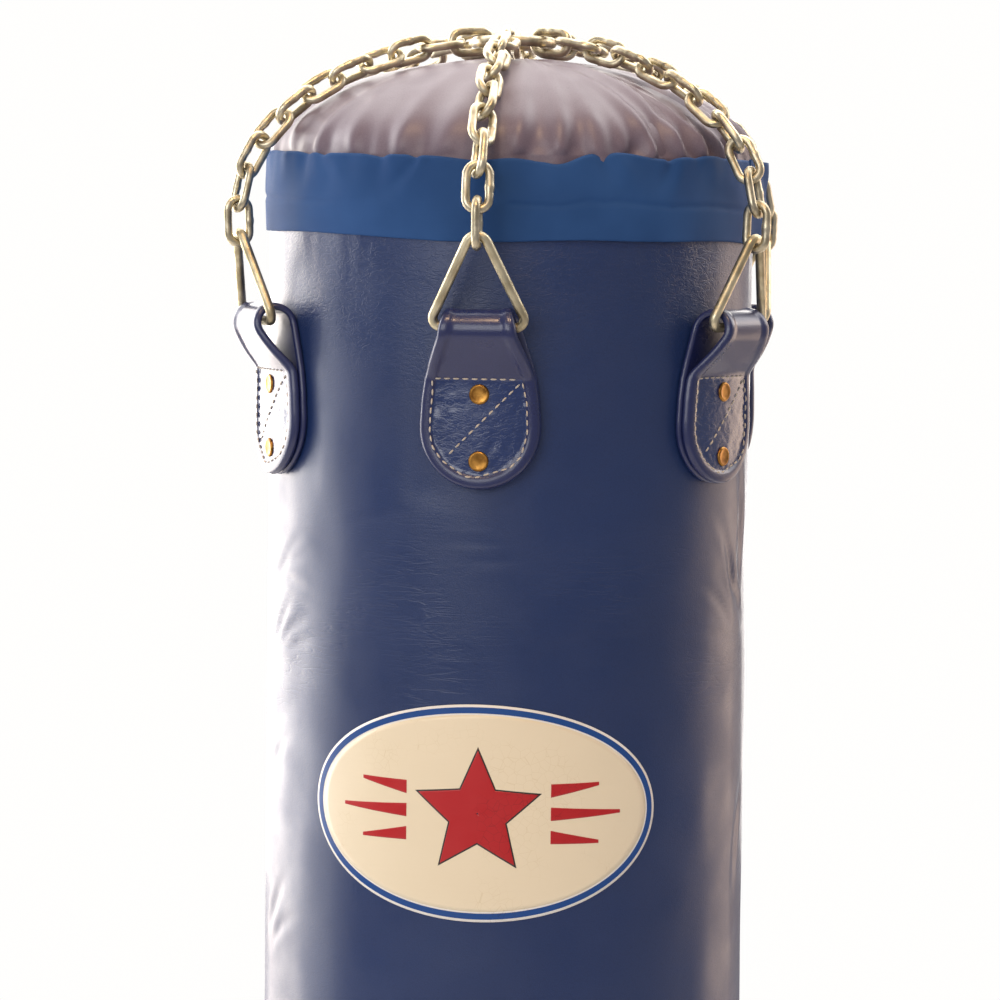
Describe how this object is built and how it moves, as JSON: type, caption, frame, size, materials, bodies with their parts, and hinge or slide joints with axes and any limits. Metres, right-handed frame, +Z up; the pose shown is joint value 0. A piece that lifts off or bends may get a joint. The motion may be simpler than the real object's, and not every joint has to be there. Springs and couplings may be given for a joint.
{
  "type": "hanging heavy bag",
  "caption": "Cylindrical leather punch bag with a domed top, riveted strap tabs with steel rings, and short chains joined at a hanging ring.",
  "frame": {"origin": "centre of the flat base, on the surface the bag stands on", "axes": "+Z up along the bag; the badge faces -Y"},
  "size_m": [0.4016, 0.4366, 1.2198],
  "materials": {
    "shell_leather": "glossy grained navy leather",
    "dome_leather": "glossy thin leather, gathered at the rim",
    "strap_leather": "glossy thick leather",
    "welt_leather": "satin leather piping",
    "base_leather": "satin leather",
    "collar_fabric": "satin woven band",
    "drawcord_cotton": "twisted cotton",
    "lining_canvas": "plain canvas",
    "filling_textile": "packed cut textile",
    "band_webbing": "heavy webbing",
    "badge_vinyl": "smooth vinyl",
    "rivet_brass": "worn domed heads",
    "washer_brass": "plain stamped",
    "ring_steel": "zinc plated",
    "chain_steel": "zinc plated, worn",
    "gather_steel": "zinc plated"
  },
  "bodies": {
    "bag": {"filling": "filling_textile", "lining": "lining_canvas", "outer_shell": "shell_leather", "base_disc": "base_leather", "base_welt": "welt_leather", "reinforcing_band": "band_webbing", "top_cover": "dome_leather", "collar": "collar_fabric", "drawcord": "drawcord_cotton", "badge": "badge_vinyl", "rivets": "rivet_brass", "rivet_washers": "washer_brass", "strap_1": "strap_leather", "strap_2": "strap_leather", "strap_3": "strap_leather", "strap_4": "strap_leather", "strap_5": "strap_leather", "strap_6": "strap_leather"},
    "hanger": {"gather_ring": "gather_steel"},
    "ring_1": {"ring_1": "ring_steel"},
    "chain_1_lower": {"chain_1_lower": "chain_steel"},
    "chain_1_middle": {"chain_1_middle": "chain_steel"},
    "chain_1_upper": {"chain_1_upper": "chain_steel"},
    "ring_2": {"ring_2": "ring_steel"},
    "chain_2_lower": {"chain_2_lower": "chain_steel"},
    "chain_2_middle": {"chain_2_middle": "chain_steel"},
    "chain_2_upper": {"chain_2_upper": "chain_steel"},
    "ring_3": {"ring_3": "ring_steel"},
    "chain_3_lower": {"chain_3_lower": "chain_steel"},
    "chain_3_middle": {"chain_3_middle": "chain_steel"},
    "chain_3_upper": {"chain_3_upper": "chain_steel"},
    "ring_4": {"ring_4": "ring_steel"},
    "chain_4_lower": {"chain_4_lower": "chain_steel"},
    "chain_4_middle": {"chain_4_middle": "chain_steel"},
    "chain_4_upper": {"chain_4_upper": "chain_steel"},
    "ring_5": {"ring_5": "ring_steel"},
    "chain_5_lower": {"chain_5_lower": "chain_steel"},
    "chain_5_middle": {"chain_5_middle": "chain_steel"},
    "chain_5_upper": {"chain_5_upper": "chain_steel"},
    "ring_6": {"ring_6": "ring_steel"},
    "chain_6_lower": {"chain_6_lower": "chain_steel"},
    "chain_6_middle": {"chain_6_middle": "chain_steel"},
    "chain_6_upper": {"chain_6_upper": "chain_steel"}
  },
  "joints": [
    {"name": "hanger_lift", "type": "slide", "parent": "bag", "child": "hanger", "axis": [0, 0, 1], "range_m": [0, 0.022]},
    {"name": "ring_1_pivot", "type": "hinge", "parent": "bag", "child": "ring_1", "pos_m": [-0.02023, -0.19244, 1.009], "axis": [-0.9945, 0.1045, 0], "range_deg": [0, 9.04]},
    {"name": "chain_1_foot", "type": "hinge", "parent": "ring_1", "child": "chain_1_lower", "pos_m": [-0.02174, -0.20686, 1.0699], "axis": [-0.9945, 0.1045, 0], "range_deg": [-11.1, 0]},
    {"name": "chain_1_rim", "type": "hinge", "parent": "chain_1_lower", "child": "chain_1_middle", "pos_m": [-0.01837, -0.17478, 1.1522], "axis": [-0.9945, 0.1045, 0], "range_deg": [-1.81, 0]},
    {"name": "chain_1_crown", "type": "hinge", "parent": "chain_1_middle", "child": "chain_1_upper", "pos_m": [-0.00961, -0.0914, 1.19724], "axis": [-0.9945, 0.1045, 0], "range_deg": [-8.57, 0]},
    {"name": "ring_2_pivot", "type": "hinge", "parent": "bag", "child": "ring_2", "pos_m": [0.15654, -0.11374, 1.009], "axis": [-0.5878, -0.809, 0], "range_deg": [0, 9.04]},
    {"name": "chain_2_foot", "type": "hinge", "parent": "ring_2", "child": "chain_2_lower", "pos_m": [0.16828, -0.12226, 1.0699], "axis": [-0.5878, -0.809, 0], "range_deg": [-11.1, 0]},
    {"name": "chain_2_rim", "type": "hinge", "parent": "chain_2_lower", "child": "chain_2_middle", "pos_m": [0.14218, -0.1033, 1.1522], "axis": [-0.5878, -0.809, 0], "range_deg": [-1.81, 0]},
    {"name": "chain_2_crown", "type": "hinge", "parent": "chain_2_middle", "child": "chain_2_upper", "pos_m": [0.07435, -0.05402, 1.19724], "axis": [-0.5878, -0.809, 0], "range_deg": [-8.57, 0]},
    {"name": "ring_3_pivot", "type": "hinge", "parent": "bag", "child": "ring_3", "pos_m": [0.17677, 0.0787, 1.009], "axis": [0.4067, -0.9135, 0], "range_deg": [0, 9.04]},
    {"name": "chain_3_foot", "type": "hinge", "parent": "ring_3", "child": "chain_3_lower", "pos_m": [0.19002, 0.0846, 1.0699], "axis": [0.4067, -0.9135, 0], "range_deg": [-11.1, 0]},
    {"name": "chain_3_rim", "type": "hinge", "parent": "chain_3_lower", "child": "chain_3_middle", "pos_m": [0.16055, 0.07148, 1.1522], "axis": [0.4067, -0.9135, 0], "range_deg": [-1.81, 0]},
    {"name": "chain_3_crown", "type": "hinge", "parent": "chain_3_middle", "child": "chain_3_upper", "pos_m": [0.08396, 0.03738, 1.19724], "axis": [0.4067, -0.9135, 0], "range_deg": [-8.57, 0]},
    {"name": "ring_4_pivot", "type": "hinge", "parent": "bag", "child": "ring_4", "pos_m": [0.02023, 0.19244, 1.009], "axis": [0.9945, -0.1045, 0], "range_deg": [0, 9.04]},
    {"name": "chain_4_foot", "type": "hinge", "parent": "ring_4", "child": "chain_4_lower", "pos_m": [0.02174, 0.20686, 1.0699], "axis": [0.9945, -0.1045, 0], "range_deg": [-11.1, 0]},
    {"name": "chain_4_rim", "type": "hinge", "parent": "chain_4_lower", "child": "chain_4_middle", "pos_m": [0.01837, 0.17478, 1.1522], "axis": [0.9945, -0.1045, 0], "range_deg": [-1.81, 0]},
    {"name": "chain_4_crown", "type": "hinge", "parent": "chain_4_middle", "child": "chain_4_upper", "pos_m": [0.00961, 0.0914, 1.19724], "axis": [0.9945, -0.1045, 0], "range_deg": [-8.57, 0]},
    {"name": "ring_5_pivot", "type": "hinge", "parent": "bag", "child": "ring_5", "pos_m": [-0.15654, 0.11374, 1.009], "axis": [0.5878, 0.809, 0], "range_deg": [0, 9.04]},
    {"name": "chain_5_foot", "type": "hinge", "parent": "ring_5", "child": "chain_5_lower", "pos_m": [-0.16828, 0.12226, 1.0699], "axis": [0.5878, 0.809, 0], "range_deg": [-11.1, 0]},
    {"name": "chain_5_rim", "type": "hinge", "parent": "chain_5_lower", "child": "chain_5_middle", "pos_m": [-0.14218, 0.1033, 1.1522], "axis": [0.5878, 0.809, 0], "range_deg": [-1.81, 0]},
    {"name": "chain_5_crown", "type": "hinge", "parent": "chain_5_middle", "child": "chain_5_upper", "pos_m": [-0.07435, 0.05402, 1.19724], "axis": [0.5878, 0.809, 0], "range_deg": [-8.57, 0]},
    {"name": "ring_6_pivot", "type": "hinge", "parent": "bag", "child": "ring_6", "pos_m": [-0.17677, -0.0787, 1.009], "axis": [-0.4067, 0.9135, 0], "range_deg": [0, 9.04]},
    {"name": "chain_6_foot", "type": "hinge", "parent": "ring_6", "child": "chain_6_lower", "pos_m": [-0.19002, -0.0846, 1.0699], "axis": [-0.4067, 0.9135, 0], "range_deg": [-11.1, 0]},
    {"name": "chain_6_rim", "type": "hinge", "parent": "chain_6_lower", "child": "chain_6_middle", "pos_m": [-0.16055, -0.07148, 1.1522], "axis": [-0.4067, 0.9135, 0], "range_deg": [-1.81, 0]},
    {"name": "chain_6_crown", "type": "hinge", "parent": "chain_6_middle", "child": "chain_6_upper", "pos_m": [-0.08396, -0.03738, 1.19724], "axis": [-0.4067, 0.9135, 0], "range_deg": [-8.57, 0]}
  ],
  "couplings": [
    {"joint": "ring_1_pivot", "follows": "hanger_lift", "rad_per_m": 7.16},
    {"joint": "chain_1_foot", "follows": "hanger_lift", "rad_per_m": -8.79},
    {"joint": "chain_1_rim", "follows": "hanger_lift", "rad_per_m": -1.42},
    {"joint": "chain_1_crown", "follows": "hanger_lift", "rad_per_m": -6.78},
    {"joint": "ring_2_pivot", "follows": "hanger_lift", "rad_per_m": 7.16},
    {"joint": "chain_2_foot", "follows": "hanger_lift", "rad_per_m": -8.79},
    {"joint": "chain_2_rim", "follows": "hanger_lift", "rad_per_m": -1.42},
    {"joint": "chain_2_crown", "follows": "hanger_lift", "rad_per_m": -6.78},
    {"joint": "ring_3_pivot", "follows": "hanger_lift", "rad_per_m": 7.16},
    {"joint": "chain_3_foot", "follows": "hanger_lift", "rad_per_m": -8.79},
    {"joint": "chain_3_rim", "follows": "hanger_lift", "rad_per_m": -1.42},
    {"joint": "chain_3_crown", "follows": "hanger_lift", "rad_per_m": -6.78},
    {"joint": "ring_4_pivot", "follows": "hanger_lift", "rad_per_m": 7.16},
    {"joint": "chain_4_foot", "follows": "hanger_lift", "rad_per_m": -8.79},
    {"joint": "chain_4_rim", "follows": "hanger_lift", "rad_per_m": -1.42},
    {"joint": "chain_4_crown", "follows": "hanger_lift", "rad_per_m": -6.78},
    {"joint": "ring_5_pivot", "follows": "hanger_lift", "rad_per_m": 7.16},
    {"joint": "chain_5_foot", "follows": "hanger_lift", "rad_per_m": -8.79},
    {"joint": "chain_5_rim", "follows": "hanger_lift", "rad_per_m": -1.42},
    {"joint": "chain_5_crown", "follows": "hanger_lift", "rad_per_m": -6.78},
    {"joint": "ring_6_pivot", "follows": "hanger_lift", "rad_per_m": 7.16},
    {"joint": "chain_6_foot", "follows": "hanger_lift", "rad_per_m": -8.79},
    {"joint": "chain_6_rim", "follows": "hanger_lift", "rad_per_m": -1.42},
    {"joint": "chain_6_crown", "follows": "hanger_lift", "rad_per_m": -6.78}
  ]
}
